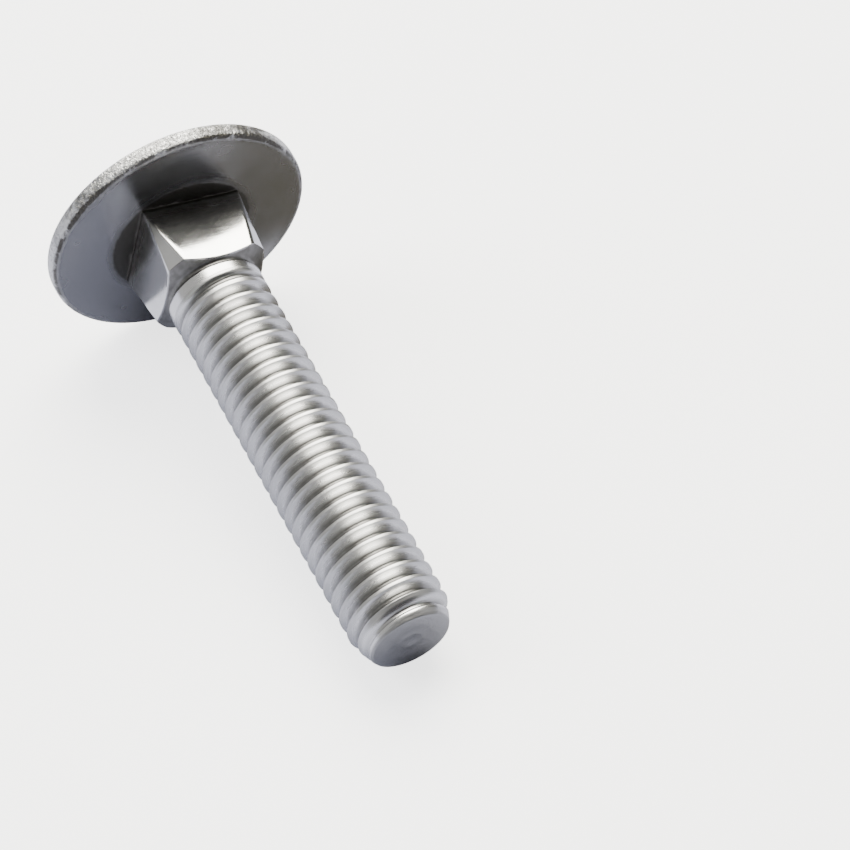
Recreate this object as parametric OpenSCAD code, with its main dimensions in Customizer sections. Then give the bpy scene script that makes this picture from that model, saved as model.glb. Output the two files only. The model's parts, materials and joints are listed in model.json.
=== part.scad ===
// Carriage bolt, one cold-formed piece: a low domed round head, a square neck under it,
// and a shank with a rolled metric thread and a tapered point.
// It lies as it comes to rest, on the rim of its head and on the thread crests near its point.
// Millimetres. The floor is z = 0 and the point of the bolt looks along +X.

/* [Head] */
// Diameter of the head across its rim
head_d = 16.2; // [12:0.1:24]
// Height of the head from its seat to the top of the dome
head_h = 3.6; // [2.6:0.1:5.5]
// Height of the upright rim between the seat and the dome
rim_h = 1.1; // [0.7:0.05:1.6]
// Radius of the rolled edge between the seat and the rim
rim_edge_r = 0.5; // [0.15:0.05:0.6]
// Radius that softens the edge between the rim and the dome
dome_edge_r = 0.25; // [0.1:0.05:1]

/* [Square neck] */
// Width of the square neck across its flats
neck_w = 6.2; // [5:0.1:8]
// Length of the neck from the seat to its end
neck_l = 4.5; // [2:0.1:8]
// Diameter across the neck's corners where they leave the collar
corner_root_d = 8.8; // [7:0.1:9.5]
// Diameter across the neck's corners at its end
corner_end_d = 7.6; // [6.5:0.1:9]
// Length of the bevel that ends the corners
corner_bevel_l = 0.35; // [0.1:0.05:1]
// Height of the round collar between the seat and the square
collar_h = 0.12; // [0.05:0.01:0.5]

/* [Shank and thread] */
// Length from the seat to the point
bolt_l = 30.6; // [16:0.1:60]
// Nominal thread diameter
thread_d = 6; // [4:0.1:8]
// Distance from one turn of the thread to the next
thread_pitch = 1; // [0.7:0.05:1.25]
// How far the crests lie under the nominal diameter, across the shank
crest_under = 0.1; // [0:0.01:0.3]
// Plain shank between the neck and the start of the groove
plain_l = 0.8; // [0.2:0.1:6]
// Turns over which the groove deepens from nothing
runout_turns = 1.25; // [0.5:0.25:3]
// Length of the tapered point
point_l = 1.5; // [0.5:0.1:3]
// Diameter of the flat end face
end_d = 4.7; // [3:0.05:5]
// Depth of the dimple in the end face
dimple_h = 0.12; // [0.05:0.01:0.4]
// Diameter of the dimple in the end face
dimple_d = 2.6; // [1:0.1:3.4]

/* [How it lies] */
// Turn of the square neck about the bolt's own axis, from one flat straight down
neck_turn = -9; // [-45:1:45]
// Where the groove starts round the shank, measured from straight down
thread_start = 309; // [0:1:360]

/* [Hidden] */

$fn = 96;
groove_steps = 32;       // stations of the groove in one turn
overcut = 0.5;           // how far a cutting body runs past what it cuts

head_r = head_d / 2;
crest_r = (thread_d - crest_under) / 2;
end_r = end_d / 2;

// Metric thread form: sharp height, root radius and the flat at the root
sharp_h = thread_pitch * sqrt(3) / 2;
root_r = thread_d / 2 - sharp_h * 17 / 24;
root_flat = thread_pitch / 6;
flank_tan = tan(30);
cutter_over = thread_pitch / 20;
cutter_r = thread_d / 2 + cutter_over;
cutter_w = root_flat + 2 * (cutter_r - root_r) * flank_tan;

// The groove runs from the end of the plain shank to past the point
groove_z = neck_l + plain_l;
groove_turns = (bolt_l + overcut - groove_z) / thread_pitch;
groove_stations = ceil(groove_turns * groove_steps);

// Dome: a cap of a sphere that meets the rim
dome_h = head_h - rim_h;
dome_r = (head_r * head_r + dome_h * dome_h) / (2 * dome_h);
dome_z = dome_r - head_h;

// Rounding between the dome and the rim: the arc's centre, and its direction from the dome's centre
round_x = head_r - dome_edge_r;
round_z = dome_z - sqrt(pow(dome_r - dome_edge_r, 2) - round_x * round_x);
round_dir = [round_x, round_z - dome_z] / (dome_r - dome_edge_r);

// Rest: the line that touches the rim's rolled edge and the crests where the point begins
rim_in_r = head_r - rim_edge_r;
rest_a = rim_in_r - crest_r;
rest_b = bolt_l - point_l + rim_edge_r;
rest_tilt = acos(-rim_edge_r / norm([rest_a, rest_b])) - atan2(rest_b, rest_a);
seat_height = rim_in_r * cos(rest_tilt) - rim_edge_r * sin(rest_tilt) + rim_edge_r;

// Reach of the lying bolt along X, from its dome to the lower edge of its end face
back_x = dome_z * cos(rest_tilt) - dome_r;
front_x = bolt_l * cos(rest_tilt) + end_r * sin(rest_tilt);
middle_x = (front_x + back_x) / 2;

// What the rounding takes off the sharp corner between the dome and the rim
module dome_corner() {
    difference() {
        polygon([
            [round_x, round_z],
            [head_r + overcut, round_z],
            [head_r + overcut, -head_h],
            [round_x, round_z] + round_dir * (dome_edge_r + head_h)
        ]);
        translate([round_x, round_z]) circle(r = dome_edge_r);
    }
}

// Section of the head on one side of the axis, the seat at height 0 and the dome below it
module head_section() {
    difference() {
        intersection() {
            translate([0, dome_z]) circle(r = dome_r);
            union() {
                translate([0, -head_h]) square([head_r, head_h - rim_edge_r]);
                translate([0, -head_h]) square([rim_in_r, head_h]);
                intersection() {
                    translate([rim_in_r, -rim_edge_r]) circle(r = rim_edge_r);
                    translate([rim_in_r, -rim_edge_r]) square(rim_edge_r);
                }
            }
        }
        dome_corner();
    }
}

// Domed head as one revolved body
module head() {
    rotate_extrude() head_section();
}

// Round bar whose cone gives the neck its blunted corners
module corner_cone() {
    bevel_z = neck_l - corner_bevel_l;
    cylinder(h = bevel_z, r1 = corner_root_d / 2, r2 = corner_end_d / 2);
    translate([0, 0, bevel_z])
        cylinder(h = corner_bevel_l, r1 = corner_end_d / 2, r2 = neck_w / 2);
}

// Square neck with a low round collar where it leaves the seat
module neck() {
    rotate([0, 0, neck_turn]) intersection() {
        translate([-neck_w / 2, -neck_w / 2, 0]) cube([neck_w, neck_w, neck_l]);
        corner_cone();
    }
    cylinder(h = collar_h, r = corner_root_d / 2);
}

// Plain shank with its point, before the thread is rolled
module shank_blank() {
    cylinder(h = bolt_l - point_l, r = crest_r);
    translate([0, 0, bolt_l - point_l]) cylinder(h = point_l, r1 = crest_r, r2 = end_r);
}

// One station of the groove: its angle, height and how far out its root lies
function groove_angle(i) = thread_start + i * 360 / groove_steps;
function groove_height(i) = groove_z + i * thread_pitch / groove_steps;
function groove_root(i) =
    let (deep = min(1, i / (groove_steps * runout_turns)))
    root_r + (1 - deep) * (cutter_r - root_r);

// Four corners of the groove's section at one station, from the root outwards
function groove_corners(i) =
    let (
        a = groove_angle(i),
        z = groove_height(i),
        inner = groove_root(i),
        outer = inner + cutter_r - root_r
    )
    [
        for (c = [[inner, -root_flat], [outer, -cutter_w], [outer, cutter_w], [inner, root_flat]])
            [c[0] * cos(a), c[0] * sin(a), z + c[1] / 2]
    ];

// Helical body that cuts the groove, with one quad face per side and station and a cap at each end
module groove_cutter() {
    sides = 4;
    last = groove_stations * sides;
    points = [for (i = [0:groove_stations]) each groove_corners(i)];
    walls = [
        for (i = [0:groove_stations - 1], k = [0:sides - 1])
            let (
                a = i * sides + k,
                b = i * sides + (k + 1) % sides
            )
            each [[a, b, b + sides], [a, b + sides, a + sides]]
    ];
    caps = [[3, 2, 1, 0], [for (k = [0:sides - 1]) last + k]];
    polyhedron(points = points, faces = concat(walls, caps), convexity = 10);
}

// Shank with its thread
module threaded_shank() {
    difference() {
        shank_blank();
        groove_cutter();
        translate([0, 0, bolt_l - dimple_h])
            cylinder(h = dimple_h, r1 = 0, r2 = dimple_d / 2);
    }
}

// The bolt upright on its dome, the seat of the head at height 0
module bolt_upright() {
    head();
    neck();
    threaded_shank();
}

// The bolt as it lies
module bolt() {
    color("silver")
        translate([-middle_x, 0, seat_height])
            rotate([0, 90 + rest_tilt, 0])
                bolt_upright();
}

bolt();
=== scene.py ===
"""Looks of a carriage bolt that lies on a pale floor: one mesh of bright, tumbled steel.

The bolt is shaped upright in millimetres, with the seat of its head at height 0 and its point
above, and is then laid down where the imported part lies.
"""
import json
import math

import bmesh
import bpy
from mathutils import Matrix, Vector


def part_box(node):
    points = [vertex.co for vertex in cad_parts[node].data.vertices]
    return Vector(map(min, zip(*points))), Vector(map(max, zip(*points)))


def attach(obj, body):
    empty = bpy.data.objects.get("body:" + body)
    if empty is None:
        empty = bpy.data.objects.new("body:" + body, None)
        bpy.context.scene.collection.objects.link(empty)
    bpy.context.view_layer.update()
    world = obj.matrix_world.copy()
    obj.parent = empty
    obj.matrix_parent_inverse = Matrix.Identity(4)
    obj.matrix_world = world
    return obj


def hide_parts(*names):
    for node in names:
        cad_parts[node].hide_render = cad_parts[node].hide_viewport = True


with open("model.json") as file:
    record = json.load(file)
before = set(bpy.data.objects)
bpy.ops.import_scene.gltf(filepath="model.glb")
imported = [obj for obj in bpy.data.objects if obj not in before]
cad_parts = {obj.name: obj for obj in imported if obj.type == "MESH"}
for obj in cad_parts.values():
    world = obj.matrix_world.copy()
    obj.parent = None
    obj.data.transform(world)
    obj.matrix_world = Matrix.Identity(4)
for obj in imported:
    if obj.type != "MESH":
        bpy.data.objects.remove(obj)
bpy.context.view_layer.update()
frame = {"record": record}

MM = 0.001
TURN = 2 * math.pi

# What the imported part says: its thread, its seat and the line it lies along
MOUNTS = {mount["name"]: mount for mount in frame["record"]["mounts"]}
THREAD = MOUNTS["thread"]
AXIS = Vector(THREAD["axis"]).normalized()
THREAD_MIDDLE = Vector(THREAD["pos_m"])
SEAT_POINT = Vector(MOUNTS["head_seat"]["pos_m"])
SEAT = THREAD_MIDDLE + AXIS * AXIS.dot(SEAT_POINT - THREAD_MIDDLE)
BOX_LOW, BOX_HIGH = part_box("bolt")

# Head, in millimetres
HEAD_R = (BOX_HIGH.y - BOX_LOW.y) / 2 / MM
HEAD_H = 3.6
RIM_H = 1.1
RIM_EDGE_R = 0.5
SEAT_FALL = 0.1
SEAT_INNER_R = 4.9
DOME_EDGE_R = 0.25

# Square neck, in millimetres, with its collar as (radius, height)
NECK_HALF = 3.1
NECK_L = 4.5
NECK_TURN = math.radians(-9)
CORNER_ROOT_R = 4.4
CORNER_END_R = 3.8
CORNER_BEVEL_L = 0.35
BEVEL_FOOT_R = NECK_HALF - 0.02
COLLAR = (
    (4.46, 0), (4.4, 0.02), (4.3, 0.032), (4.15, 0.045), (4.0, 0.06), (3.82, 0.075), (3.5, 0.083),
    (3.16, 0.086), (3.105, 0.087))
COLLAR_H = COLLAR[-1][1]
NECK_ROOT_FILLET = 0.05
NECK_EDGE_SOFT = 0.12

# Shank and thread, in millimetres
CREST_R = THREAD["dims"]["r_mm"]
BOLT_L = 30.6
THREAD_D = 6.0
PITCH = 1.0
ROOT_R = THREAD_D / 2 - PITCH * math.sqrt(3) / 2 * 17 / 24
ROOT_HALF_FLAT = PITCH / 12
FLANK_ANGLE = math.radians(30)
GROOVE_Z = 5.3
GROOVE_START = math.radians(309)
GROOVE_CLEAR = 0.05
RUNOUT_TURNS = 1.25
CREST_SOFT = 0.012
THREAD_FROM_Z = 4.9
THREAD_TO_Z = BOLT_L - 0.2

# Shallow undercut between the neck and the thread, as (radius, height)
UNDERCUT = (
    (3.02, 4.502), (2.94, 4.55), (2.88, 4.62), (2.85, 4.7), (2.86, 4.76), (2.9, 4.82), (2.935, 4.86),
    (CREST_R, THREAD_FROM_Z))

# Point, in millimetres, with the rings of its dished face as (radius, depth)
POINT_L = 1.5
POINT_SOFT = 0.03
END_R = 2.35
END_EDGE_R = 0.1
END_RINGS = (
    (2.05, 0.002), (1.8, 0.01), (1.6, 0.012), (1.4, 0.022), (1.2, 0.045), (1.0, 0.06), (0.85, 0.062),
    (0.7, 0.055), (0.55, 0.06), (0.4, 0.085), (0.25, 0.105), (0.12, 0.11), (0, 0.112))

# Where the mesh has its rows and columns, as shares of a form or of half a pitch
COLUMNS = 144
FLAT_COLUMNS = 0.3
FLAT_GATHER = 1.7
CORNER_GATHER = 1.5
SEAT_ROWS = (0.02, 0.1, 0.3, 0.5, 0.7, 0.9, 1)
NECK_ROWS = (0.003, 0.01, 0.025, 0.05, 0.08, 0.16, 0.28, 0.4, 0.52, 0.64, 0.76, 0.86, 0.93, 0.97, 0.99, 1)
BEVEL_ROWS = (0.04, 0.1, 0.35, 0.65, 0.92)
PITCH_ROWS = (0, 0.055, 0.09, 0.13, 0.25, 0.397, 0.405, 0.412, 0.42)
WELD = 1e-4

# Height at which the neck's rings wait until they get their shape
WAITING_Z = 100

# Dark smears on the rim, partly dirt and partly painted shade, as (angle, reach, strength), angles in
# degrees from straight down
RIM_SMEARS_AND_SHADE = ((144, 20, 1), (164, 11, 0.7), (229, 17, 0.85), (248, 10, 0.35))


def blend(a, b, t):
    """The value a share t of the way from a to b."""
    return a + (b - a) * t


def smooth_step(low, high, value):
    """0 at low, 1 at high, and an even curve between them; high may be the smaller one."""
    t = min(1, max(0, (value - low) / (high - low)))
    return t * t * (3 - 2 * t)


def soft_min(a, b, width):
    """The lower of two values, rounded where they are within width of each other."""
    share = max(width - abs(a - b), 0) / width
    return min(a, b) - share * share * width / 4


def arc(centre, radius, start, end, steps):
    """Points of an arc in (radius, height), without its first point; angles in degrees."""
    points = []
    for i in range(1, steps + 1):
        angle = math.radians(blend(start, end, i / steps))
        points.append((centre[0] + radius * math.cos(angle), centre[1] + radius * math.sin(angle)))
    return points


# The bolt's outline

def head_outline():
    """(radius, height) from the top of the dome to the foot of the collar."""
    dome_h = HEAD_H - RIM_H
    dome_r = (HEAD_R ** 2 + dome_h ** 2) / (2 * dome_h)
    dome_z = dome_r - HEAD_H
    round_r = HEAD_R - DOME_EDGE_R
    round_z = dome_z - math.sqrt((dome_r - DOME_EDGE_R) ** 2 - round_r ** 2)
    edge_angle = math.degrees(math.atan2(round_z - dome_z, round_r))
    roll_r = RIM_EDGE_R - SEAT_FALL
    rim_in_r = HEAD_R - roll_r
    cone = math.degrees(math.atan2(SEAT_FALL, rim_in_r - SEAT_INNER_R))
    outline = [(0, -HEAD_H)]
    outline += arc((0, dome_z), dome_r, -90, edge_angle, 26)
    outline += arc((round_r, round_z), DOME_EDGE_R, edge_angle, 0, 5)
    outline += [(HEAD_R, blend(round_z, -RIM_EDGE_R, share)) for share in (0.33, 0.67, 1)]
    outline += arc((rim_in_r, -RIM_EDGE_R), roll_r, 0, 90 - cone, 9)
    edge_r, edge_z = outline[-1]
    for share in SEAT_ROWS:
        outline.append((blend(edge_r, SEAT_INNER_R, share), blend(edge_z, 0, share)))
    return outline


def corner_radius(z):
    """Radius of the cone that blunts the neck's corners."""
    return blend(CORNER_ROOT_R, CORNER_END_R, z / (NECK_L - CORNER_BEVEL_L))


def neck_spread(column, edge):
    """Angle from the middle of the nearest flat, with the columns gathered along the corners' edges."""
    quarter = COLUMNS // 4
    flat_columns = round(quarter * FLAT_COLUMNS)
    from_flat = (column + quarter / 2) % quarter - quarter / 2
    steps = abs(from_flat)
    if steps <= flat_columns:
        turn = edge * (1 - (1 - steps / flat_columns) ** FLAT_GATHER)
    else:
        past_edge = (steps - flat_columns) / (quarter / 2 - flat_columns)
        turn = blend(edge, math.pi / 4, past_edge ** CORNER_GATHER)
    return math.copysign(turn, from_flat), from_flat


def neck_radius(turn, z):
    """Distance of the neck's side from the axis, its corner edges softened."""
    return soft_min(NECK_HALF / math.cos(turn), corner_radius(z), NECK_EDGE_SOFT)


def root_fillet(z):
    """How far the fillet at the foot of the neck stands out at a height."""
    if z >= NECK_ROOT_FILLET:
        return 0
    return NECK_ROOT_FILLET - math.sqrt(NECK_ROOT_FILLET ** 2 - (NECK_ROOT_FILLET - z) ** 2)


def column_angle(column):
    return NECK_TURN + TURN * column / COLUMNS


def neck_point(column, z, collar=0, share=None):
    """(radius, angle, height) on the neck's side; share counts the height from its foot to its end."""
    edge = math.acos(min(1, max(NECK_HALF / corner_radius(z), math.sqrt(0.5))))
    turn, from_flat = neck_spread(column, edge)
    if share is not None:
        corner = (NECK_HALF / math.cos(turn) - NECK_HALF) / (CORNER_END_R - NECK_HALF)
        z = blend(COLLAR_H, NECK_L - CORNER_BEVEL_L * min(1, corner), share)
    radius = max(collar, neck_radius(turn, z) + root_fillet(z))
    return radius, column_angle(column - from_flat) + turn, z


def bevel_point(column, top, share):
    """(radius, angle, height) on the bevel between the end of the neck's side and the shank."""
    radius, angle, z = top
    angle = blend(angle, column_angle(column), share)
    return blend(radius, BEVEL_FOOT_R, share), angle, blend(z, NECK_L, share)


def neck_rings():
    """Rings of (radius, angle, height) up the collar and neck, over its end bevel and onto the shank."""
    columns = range(COLUMNS)
    rings = [[neck_point(column, z, radius) for column in columns] for radius, z in COLLAR]
    for share in NECK_ROWS:
        z = blend(COLLAR_H, NECK_L - CORNER_BEVEL_L, share)
        rings.append([neck_point(column, z, 0, share) for column in columns])
    side_top = rings[-1]
    for share in BEVEL_ROWS:
        rings.append([bevel_point(column, side_top[column], share) for column in columns])
    for radius, z in UNDERCUT:
        rings.append([(radius, column_angle(column), z) for column in columns])
    return rings


def groove_at(z, angle):
    """Distance to the nearest groove along the axis, and the turns that groove has run."""
    turned = (angle - GROOVE_START) / TURN % 1
    along = (z - GROOVE_Z) / PITCH - turned
    nearest = round(along)
    return abs(along - nearest) * PITCH, nearest + turned


def groove_radius(z, angle):
    """Radius of the threaded shank at a height and an angle round it."""
    offset, travel = groove_at(z, angle)
    if travel <= 0:
        return CREST_R
    shallow = 1 - min(1, travel / RUNOUT_TURNS)
    root = blend(ROOT_R, CREST_R + GROOVE_CLEAR, shallow)
    flank = root + max(0, offset - ROOT_HALF_FLAT) / math.tan(FLANK_ANGLE)
    return soft_min(flank, CREST_R, CREST_SOFT)


def shank_radius(z, angle):
    """Radius of the shank with its tapered point."""
    point_r = blend(CREST_R, END_R, (z - (BOLT_L - POINT_L)) / POINT_L)
    return soft_min(groove_radius(z, angle), point_r, POINT_SOFT)


def end_outline():
    """(radius, height) from the top of the thread over the edge of the end face to its middle."""
    edge_z = BOLT_L - END_EDGE_R
    outline = [(END_R, THREAD_TO_Z), (END_R + 0.01, edge_z)]
    outline += arc((END_R - END_EDGE_R, edge_z), END_EDGE_R, 10, 90, 5)
    outline += [(radius, BOLT_L - depth) for radius, depth in END_RINGS]
    return outline


# The mesh

def revolve(bm, outline, rise=0):
    """Turns an outline of (radius, height) once round from the middle of a flat, rising by rise."""
    start = (math.cos(NECK_TURN), math.sin(NECK_TURN))
    verts = [bm.verts.new((radius * start[0], radius * start[1], z)) for radius, z in outline]
    edges = [bm.edges.new(pair) for pair in zip(verts, verts[1:])]
    bmesh.ops.spin(
        bm, geom=verts + edges, cent=(0, 0, 0), axis=(0, 0, 1), dvec=(0, 0, rise / COLUMNS),
        angle=TURN, steps=COLUMNS, use_merge=False, use_duplicate=False)
    bmesh.ops.remove_doubles(bm, verts=bm.verts, dist=WELD)


def head_and_neck():
    """Domed head and square neck, up to the ring where the thread begins."""
    bm = bmesh.new()
    rings = neck_rings()
    revolve(bm, head_outline() + [(CREST_R, WAITING_Z + index) for index in range(len(rings))])
    for vert in bm.verts:
        if vert.co.z > WAITING_Z / 2:
            ring = rings[round(vert.co.z) - WAITING_Z]
            around = math.atan2(vert.co.y, vert.co.x) - NECK_TURN
            radius, angle, z = ring[round(around / TURN * COLUMNS) % COLUMNS]
            vert.co = (radius * math.cos(angle), radius * math.sin(angle), z)
    return bm


def threaded_shank():
    """Threaded shank whose rows of faces run along the helix, cut level at both ends."""
    bm = bmesh.new()
    offsets = [-offset for offset in reversed(PITCH_ROWS[1:])] + list(PITCH_ROWS) + [0.5]
    first = GROOVE_Z - (GROOVE_START - NECK_TURN) / TURN * PITCH
    outline = []
    for turn in range(-3, int(BOLT_L)):
        base = first + turn * PITCH
        outline += [(CREST_R, base + offset * PITCH) for offset in offsets]
    revolve(bm, outline, PITCH)
    for vert in bm.verts:
        angle = math.atan2(vert.co.y, vert.co.x)
        z = min(THREAD_TO_Z, max(THREAD_FROM_Z, vert.co.z))
        radius = shank_radius(z, angle)
        vert.co = (radius * math.cos(angle), radius * math.sin(angle), z)
    bmesh.ops.remove_doubles(bm, verts=bm.verts, dist=WELD)
    return bm


def end_face():
    """Rounded edge and dished face of the point."""
    bm = bmesh.new()
    revolve(bm, end_outline())
    for vert in bm.verts:
        if vert.co.z < THREAD_TO_Z + WELD:
            angle = math.atan2(vert.co.y, vert.co.x)
            radius = shank_radius(vert.co.z, angle)
            vert.co.x, vert.co.y = radius * math.cos(angle), radius * math.sin(angle)
    return bm


def joined(parts):
    """One bmesh of several whose end rings lie on each other."""
    whole = bmesh.new()
    for part in parts:
        mesh = bpy.data.meshes.new("part")
        part.to_mesh(mesh)
        part.free()
        whole.from_mesh(mesh)
        bpy.data.meshes.remove(mesh)
    bmesh.ops.remove_doubles(whole, verts=whole.verts, dist=WELD)
    bmesh.ops.dissolve_degenerate(whole, edges=whole.edges, dist=WELD / 10)
    bmesh.ops.recalc_face_normals(whole, faces=whole.faces)
    return whole


def lay_down():
    """Matrix from the upright bolt in millimetres to where it lies, in metres."""
    down = Vector((AXIS.z, 0, -AXIS.x))
    side = AXIS.cross(down)
    turn = Matrix((down, side, AXIS)).transposed().to_4x4()
    return Matrix.Translation(SEAT) @ turn @ Matrix.Scale(MM, 4)


# Wear, finish and painted shade, each as a share from 0 to 1

def rim_wear_and_shade(radius, angle, z):
    """The tumbled rim, its dark smears of dirt and painted shade and the jagged line where it meets the
    seat.
    """
    rim = smooth_step(HEAD_R - 0.55, HEAD_R - 0.1, radius) * smooth_step(0.05, -0.3, z)
    rim = max(rim, 0.1 * smooth_step(-0.9, -1.3, z))
    burr = smooth_step(HEAD_R - 0.6, HEAD_R - 0.4, radius)
    burr *= 0.85 * smooth_step(-0.35, -0.27, z) * smooth_step(-0.11, -0.18, z)
    degrees = math.degrees(angle) % 360
    # Smears partly dirt and partly painted shade for the rim's darker reflections at these angles.
    smear = 0
    for middle, reach, strength in RIM_SMEARS_AND_SHADE:
        smear = max(smear, strength * smooth_step(reach, reach * 0.3, abs(degrees - middle)))
    return {"rim": rim, "smear": rim * smear, "burr": burr}


def shank_wear_and_shade(radius, angle, z):
    """Painted shade in the thread's roots and round the neck, duller crests and the neck's smooth drawn
    flats.
    """
    crest = drawn = 0
    if z > THREAD_FROM_Z:
        offset, travel = groove_at(z, angle)
        deep = min(1, max(0, travel) / (0.5 * RUNOUT_TURNS))
        crest = deep * smooth_step(0.36, 0.42, offset)
        # Painted shade in the thread's roots, where shade falls in the grooves.
        grime = 0.8 * deep * smooth_step(0.2, 0.07, offset) * smooth_step(BOLT_L - 0.2, BOLT_L - 1.2, z)
    elif z > NECK_L - CORNER_BEVEL_L:
        turn = (angle - NECK_TURN + math.pi / 4) % (math.pi / 2) - math.pi / 4
        # Painted shade on the neck's end bevel and on the undercut below it.
        grime = 0.85 * smooth_step(0.01, 0.12, NECK_HALF / math.cos(turn) - radius)
        grime *= smooth_step(4.85, 4.7, z)
        drawn = smooth_step(0.3, 0, grime)
    elif z > COLLAR_H:
        # Painted shade: the neck's sides get darker towards the head, standing for the seat's dark
        # reflection.
        grime = 0.72 * smooth_step(3.1, 1.1, z) + 0.28 * smooth_step(0.5, COLLAR_H, z)
        drawn = smooth_step(0.3, 1.0, z)
    else:
        # Painted shade on the collar and seat round the foot of the neck.
        grime = smooth_step(-0.2, 0, z) * smooth_step(CORNER_ROOT_R + 0.3, CORNER_ROOT_R - 0.15, radius)
    return {"grime": grime, "crest": crest, "drawn": drawn}


def wear_and_shade_of(co):
    """Share of each kind of wear, finish and painted shade at a place of the upright bolt."""
    radius = math.hypot(co.x, co.y)
    angle = math.atan2(co.y, co.x)
    wear_and_shade = rim_wear_and_shade(radius, angle, co.z)
    wear_and_shade.update(shank_wear_and_shade(radius, angle, co.z))
    # The seat under the head, which the steel darkens as painted shade.
    wear_and_shade["seat"] = smooth_step(-0.3, -0.1, co.z) * smooth_step(0.3, COLLAR_H, co.z)
    wear_and_shade["faced"] = smooth_step(BOLT_L - 0.2, BOLT_L - 0.11, co.z)
    return wear_and_shade


def add_wear_and_shade(mesh, places):
    """Gives each point of the mesh its place on the upright bolt and its wear and painted shade, for the
    steel to read.
    """
    place = mesh.attributes.new("place", "FLOAT_VECTOR", "POINT")
    for item, co in zip(place.data, places):
        item.vector = co
    wear_and_shade = [wear_and_shade_of(co) for co in places]
    for name in wear_and_shade[0]:
        layer = mesh.attributes.new(name, "FLOAT", "POINT")
        for item, shares in zip(layer.data, wear_and_shade):
            item.value = shares[name]


def build_bolt():
    bm = joined([head_and_neck(), threaded_shank(), end_face()])
    places = [vert.co.copy() for vert in bm.verts]
    bmesh.ops.transform(bm, matrix=lay_down(), verts=bm.verts)
    open_edges = sum(1 for edge in bm.edges if not edge.is_manifold)
    print("bolt mesh:", len(bm.verts), "verts,", len(bm.faces), "faces,", open_edges, "open edges")
    mesh = bpy.data.meshes.new("carriage_bolt")
    bm.to_mesh(mesh)
    bm.free()
    add_wear_and_shade(mesh, places)
    mesh.shade_smooth()
    piece = bpy.data.objects.new("carriage_bolt", mesh)
    bpy.context.scene.collection.objects.link(piece)
    return piece


# The metal

STEEL = (0.62, 0.62, 0.625, 1)
DULL_AND_SHADED_STEEL = (0.36, 0.36, 0.37, 1)
# Dark colour for dirt and for painted shade.
DARK_DIRT_AND_SHADE = (0.075, 0.072, 0.064, 1)

# Height of each kind of mark, in millimetres
RIM_MARKS = 0.17
FINE_MARKS = 0.0008
DENTS = 0.002
DRAWN_LINES = 0.001
END_SWIRL = 0.035

# How far each finish takes the steel to dull steel, on the seat as painted shade, and what it adds to the
# roughness
DULLS_AND_SEAT_SHADE = {"patches": 0.15, "pits": 1, "crest": 0.5, "seat": 1, "faced": 1}
ROUGHNESS = 0.2
ROUGHENS = {
    "lines": 0.08, "patches": 0.03, "rim": 0.14, "faced": 0.17, "crest": 0.1, "drawn": -0.14, "grime": 0.15}

# Darkening of the seat and the end face, on the seat under the head as painted shade
SEAT_AND_END_DARKENING = 0.16


class Nodes:
    """Short way to add and link the nodes of one material."""

    def __init__(self, tree):
        self.tree = tree

    def feed(self, socket, value):
        if isinstance(value, bpy.types.NodeSocket):
            self.tree.links.new(value, socket)
        else:
            socket.default_value = value

    def attribute(self, name, output="Fac"):
        node = self.tree.nodes.new("ShaderNodeAttribute")
        node.attribute_name = name
        return node.outputs[output]

    def math(self, operation, a, b, clamp=False):
        node = self.tree.nodes.new("ShaderNodeMath")
        node.operation = operation
        node.use_clamp = clamp
        self.feed(node.inputs[0], a)
        self.feed(node.inputs[1], b)
        return node.outputs[0]

    def times(self, a, b):
        return self.math("MULTIPLY", a, b)

    def total(self, terms, start=0.0, clamp=True):
        """A start plus each value times its share, kept between 0 and 1 unless clamp is off."""
        result = start
        for value, share in terms[:-1]:
            result = self.math("ADD", result, self.times(value, share))
        return self.math("ADD", result, self.times(*terms[-1]), clamp)

    def stretch(self, vector, scale):
        node = self.tree.nodes.new("ShaderNodeMapping")
        self.feed(node.inputs["Vector"], vector)
        node.inputs["Scale"].default_value = scale
        return node.outputs["Vector"]

    def noise(self, vector, scale, detail, roughness, distortion=0.0):
        node = self.tree.nodes.new("ShaderNodeTexNoise")
        self.feed(node.inputs["Vector"], vector)
        node.inputs["Scale"].default_value = scale
        node.inputs["Detail"].default_value = detail
        node.inputs["Roughness"].default_value = roughness
        node.inputs["Distortion"].default_value = distortion
        return node.outputs["Fac"]

    def ramp(self, value, low, high, start=0.0):
        """A smooth rise from start to 1 as the value goes from low to high."""
        node = self.tree.nodes.new("ShaderNodeMapRange")
        node.interpolation_type = "SMOOTHSTEP"
        self.feed(node.inputs["Value"], value)
        node.inputs["From Min"].default_value = low
        node.inputs["From Max"].default_value = high
        node.inputs["To Min"].default_value = start
        return node.outputs["Result"]

    def mix(self, share, a, b):
        node = self.tree.nodes.new("ShaderNodeMix")
        node.data_type = "RGBA"
        self.feed(node.inputs["Factor"], share)
        self.feed(node.inputs["A"], a)
        self.feed(node.inputs["B"], b)
        return node.outputs["Result"]


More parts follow.
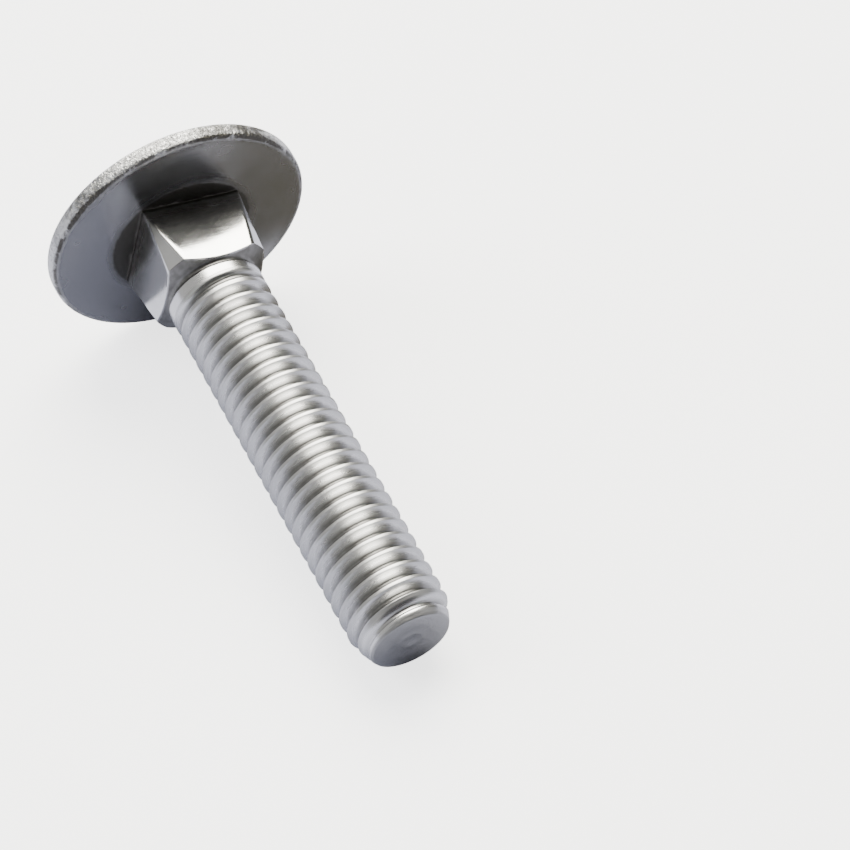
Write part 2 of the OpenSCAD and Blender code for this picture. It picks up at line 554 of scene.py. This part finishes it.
def steel_material():
    """Bright cold-formed steel: tumbled marks, lines along the thread, a turned end, painted shade in
    corners and roots.
    """
    material = bpy.data.materials.new("bright_steel")
    material.use_nodes = True
    tree = material.node_tree
    n = Nodes(tree)
    shader = tree.nodes["Principled BSDF"]
    place = n.attribute("place", "Vector")
    finish_and_shade = {}
    for name in ("rim", "smear", "burr", "grime", "crest", "drawn", "seat", "faced"):
        finish_and_shade[name] = n.attribute(name)

    # Marks
    speckle = n.noise(place, 4.5, 3, 0.65, 0.6)
    dents = n.noise(place, 1.3, 2, 0.5)
    finish_and_shade["lines"] = n.noise(n.stretch(place, (0.35, 0.35, 14)), 1, 2, 0.6)
    swirl = n.times(n.noise(place, 0.9, 2, 0.5, 3), finish_and_shade["faced"])
    tumbled = n.total([(finish_and_shade["rim"], RIM_MARKS)], FINE_MARKS, False)
    marks = [(speckle, tumbled), (dents, DENTS), (finish_and_shade["lines"], DRAWN_LINES), (swirl, END_SWIRL)]
    bump = tree.nodes.new("ShaderNodeBump")
    bump.inputs["Strength"].default_value = 1
    bump.inputs["Distance"].default_value = MM
    tree.links.new(n.total(marks, 0.0, False), bump.inputs["Height"])
    tree.links.new(bump.outputs["Normal"], shader.inputs["Normal"])

    # Colour
    finish_and_shade["patches"] = n.ramp(n.noise(place, 0.5, 2, 0.5), 0.35, 0.7)
    finish_and_shade["pits"] = n.times(n.ramp(speckle, 0.5, 0.62), finish_and_shade["rim"])
    dull_and_shade = n.total([(finish_and_shade[name], share) for name, share in DULLS_AND_SEAT_SHADE.items()])
    # Painted shade broken up in patches.
    patchy_shade = n.ramp(n.noise(place, 1.6, 2, 0.5), 0.35, 0.65, 0.88)
    jagged = n.ramp(n.noise(place, 1.3, 4, 0.65), 0.33, 0.52)
    # The rim's smears, partly dirt and partly painted shade, broken up in patches.
    smeared_and_shaded = n.ramp(n.noise(place, 1.3, 4, 0.7), 0.36, 0.58, 0.25)
    # Painted shade, the rim's burr and smears and the darkened seat and end face, mixed towards the dark
    # colour.
    dirt_and_shade = n.total([
        (finish_and_shade["grime"], patchy_shade), (finish_and_shade["burr"], jagged), (finish_and_shade["smear"], smeared_and_shaded),
        (finish_and_shade["seat"], SEAT_AND_END_DARKENING), (finish_and_shade["faced"], SEAT_AND_END_DARKENING)])
    colour = n.mix(dirt_and_shade, n.mix(dull_and_shade, STEEL, DULL_AND_SHADED_STEEL), DARK_DIRT_AND_SHADE)
    tree.links.new(colour, shader.inputs["Base Color"])

    # Gloss
    rough = n.total([(finish_and_shade[name], share) for name, share in ROUGHENS.items()], ROUGHNESS)
    tree.links.new(rough, shader.inputs["Roughness"])
    shader.inputs["Metallic"].default_value = 1
    return material


# The camera, the floor and the light

AIM = Vector((6.2, 6.2, 6.9)) * MM
VIEW_FROM_AZIMUTH = math.radians(-26.98)
VIEW_ELEVATION = math.radians(46.21)
VIEW_DISTANCE = 174 * MM
FOCAL_PX = 3100
IMAGE_PX = 850
SENSOR_WIDTH = 36

FLOOR_REACH = 1.5
FLOOR_GLOW = 2.5
PALE = (0.6, 0.6, 0.6, 1)
LAVENDER = (0.4, 0.41, 0.49, 1)
LAVENDER_Z = 0.02 * MM
DARK = (0.09, 0.086, 0.078, 1)
CARD_CENTRE = (-7 * MM, 12.5 * MM, 0.04 * MM)
CARD_REACH = (5.5 * MM, 6 * MM)

# The room round the bolt, then its shaded parts by direction, full and fading angle in degrees
ROOM = (0.67, 0.665, 0.64, 1)
ROOM_SHADES = (
    ((0.75, 0, 0.45), 33, 50, (0.14, 0.14, 0.145, 1)),
    ((-0.45, 0.87, 0.2), 18, 42, (0.2, 0.2, 0.185, 1)),
)
SOFTBOX_DISTANCE = 0.5


def add_camera():
    data = bpy.data.cameras.new("camera")
    data.sensor_width = SENSOR_WIDTH
    data.lens = FOCAL_PX / IMAGE_PX * SENSOR_WIDTH
    data.clip_start = 0.01
    camera = bpy.data.objects.new("camera", data)
    back = Vector((
        math.cos(VIEW_ELEVATION) * math.cos(VIEW_FROM_AZIMUTH),
        math.cos(VIEW_ELEVATION) * math.sin(VIEW_FROM_AZIMUTH),
        math.sin(VIEW_ELEVATION)))
    camera.location = AIM + back * VIEW_DISTANCE
    camera.rotation_euler = (-back).to_track_quat("-Z", "Y").to_euler()
    bpy.context.scene.collection.objects.link(camera)
    bpy.context.scene.camera = camera


def add_softbox(name, direction, size, radiance, colour):
    """Soft rectangular light of an even radiance that looks at the bolt from a direction."""
    data = bpy.data.lights.new(name, "AREA")
    data.shape = "RECTANGLE"
    data.size, data.size_y = size
    data.energy = radiance * math.pi * size[0] * size[1]
    data.color = colour
    light = bpy.data.objects.new(name, data)
    light.location = AIM + Vector(direction).normalized() * SOFTBOX_DISTANCE
    light.rotation_euler = Vector(direction).to_track_quat("Z", "Y").to_euler()
    bpy.context.scene.collection.objects.link(light)
    return light


def add_floor(name, centre, reach, colour, glow=0):
    """Level plane that may glow a little, as a lit studio table does."""
    bm = bmesh.new()
    place = Matrix.Translation(centre) @ Matrix.Diagonal((*reach, 1, 1))
    bmesh.ops.create_grid(bm, x_segments=1, y_segments=1, size=1, matrix=place)
    mesh = bpy.data.meshes.new(name)
    bm.to_mesh(mesh)
    bm.free()
    floor = bpy.data.objects.new(name, mesh)
    material = bpy.data.materials.new(name)
    material.use_nodes = True
    shader = material.node_tree.nodes["Principled BSDF"]
    shader.inputs["Base Color"].default_value = colour
    shader.inputs["Roughness"].default_value = 0.7
    shader.inputs["Specular IOR Level"].default_value = 0
    shader.inputs["Emission Color"].default_value = (1, 1, 1, 1)
    shader.inputs["Emission Strength"].default_value = glow
    mesh.materials.append(material)
    bpy.context.scene.collection.objects.link(floor)
    return floor


def add_floors():
    """The pale floor, and what lies in its place for the metal's reflections alone."""
    pale = add_floor("floor", (0, 0, 0), (FLOOR_REACH, FLOOR_REACH), PALE, FLOOR_GLOW)
    pale.visible_glossy = False
    lavender = add_floor("reflected_floor", (0, 0, LAVENDER_Z), (FLOOR_REACH, FLOOR_REACH), LAVENDER)
    card = add_floor("reflected_card", CARD_CENTRE, CARD_REACH, DARK)
    for reflected in (lavender, card):
        reflected.visible_camera = False
        reflected.visible_diffuse = False
        reflected.visible_shadow = False


def add_patch(tree, towards, inner, outer):
    """Node value that is 1 round a direction of the room and fades to 0."""
    coord = tree.nodes.new("ShaderNodeTexCoord")
    dot = tree.nodes.new("ShaderNodeVectorMath")
    dot.operation = "DOT_PRODUCT"
    dot.inputs[1].default_value = Vector(towards).normalized()
    tree.links.new(coord.outputs["Generated"], dot.inputs[0])
    fade = tree.nodes.new("ShaderNodeMapRange")
    fade.interpolation_type = "SMOOTHSTEP"
    fade.inputs["From Min"].default_value = math.cos(math.radians(outer))
    fade.inputs["From Max"].default_value = math.cos(math.radians(inner))
    tree.links.new(dot.outputs["Value"], fade.inputs["Value"])
    return fade.outputs["Result"]


def add_light():
    """Pale room with darker parts, a wide softbox overhead and one that only the floor shows."""
    world = bpy.data.worlds.new("studio")
    bpy.context.scene.world = world
    world.use_nodes = True
    tree = world.node_tree
    plain = tree.nodes.new("ShaderNodeRGB")
    plain.outputs["Color"].default_value = ROOM
    room = plain.outputs["Color"]
    for towards, inner, outer, shade in ROOM_SHADES:
        mix = tree.nodes.new("ShaderNodeMix")
        mix.data_type = "RGBA"
        mix.blend_type = "MULTIPLY"
        tree.links.new(add_patch(tree, towards, inner, outer), mix.inputs["Factor"])
        tree.links.new(room, mix.inputs["A"])
        mix.inputs["B"].default_value = shade
        room = mix.outputs["Result"]
    tree.links.new(room, tree.nodes["Background"].inputs["Color"])
    add_softbox("overhead", (-0.55, 0.25, 0.81), (0.42, 0.45), 17, (1, 0.97, 0.86))
    floor_light = add_softbox("floor_light", (-0.35, -0.7, 0.6), (0.3, 0.4), 11, (0.94, 0.96, 1))
    floor_light.visible_glossy = False


add_camera()
add_floors()
add_light()
bolt = build_bolt()
bolt.data.materials.append(steel_material())
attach(bolt, "root")
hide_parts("bolt")
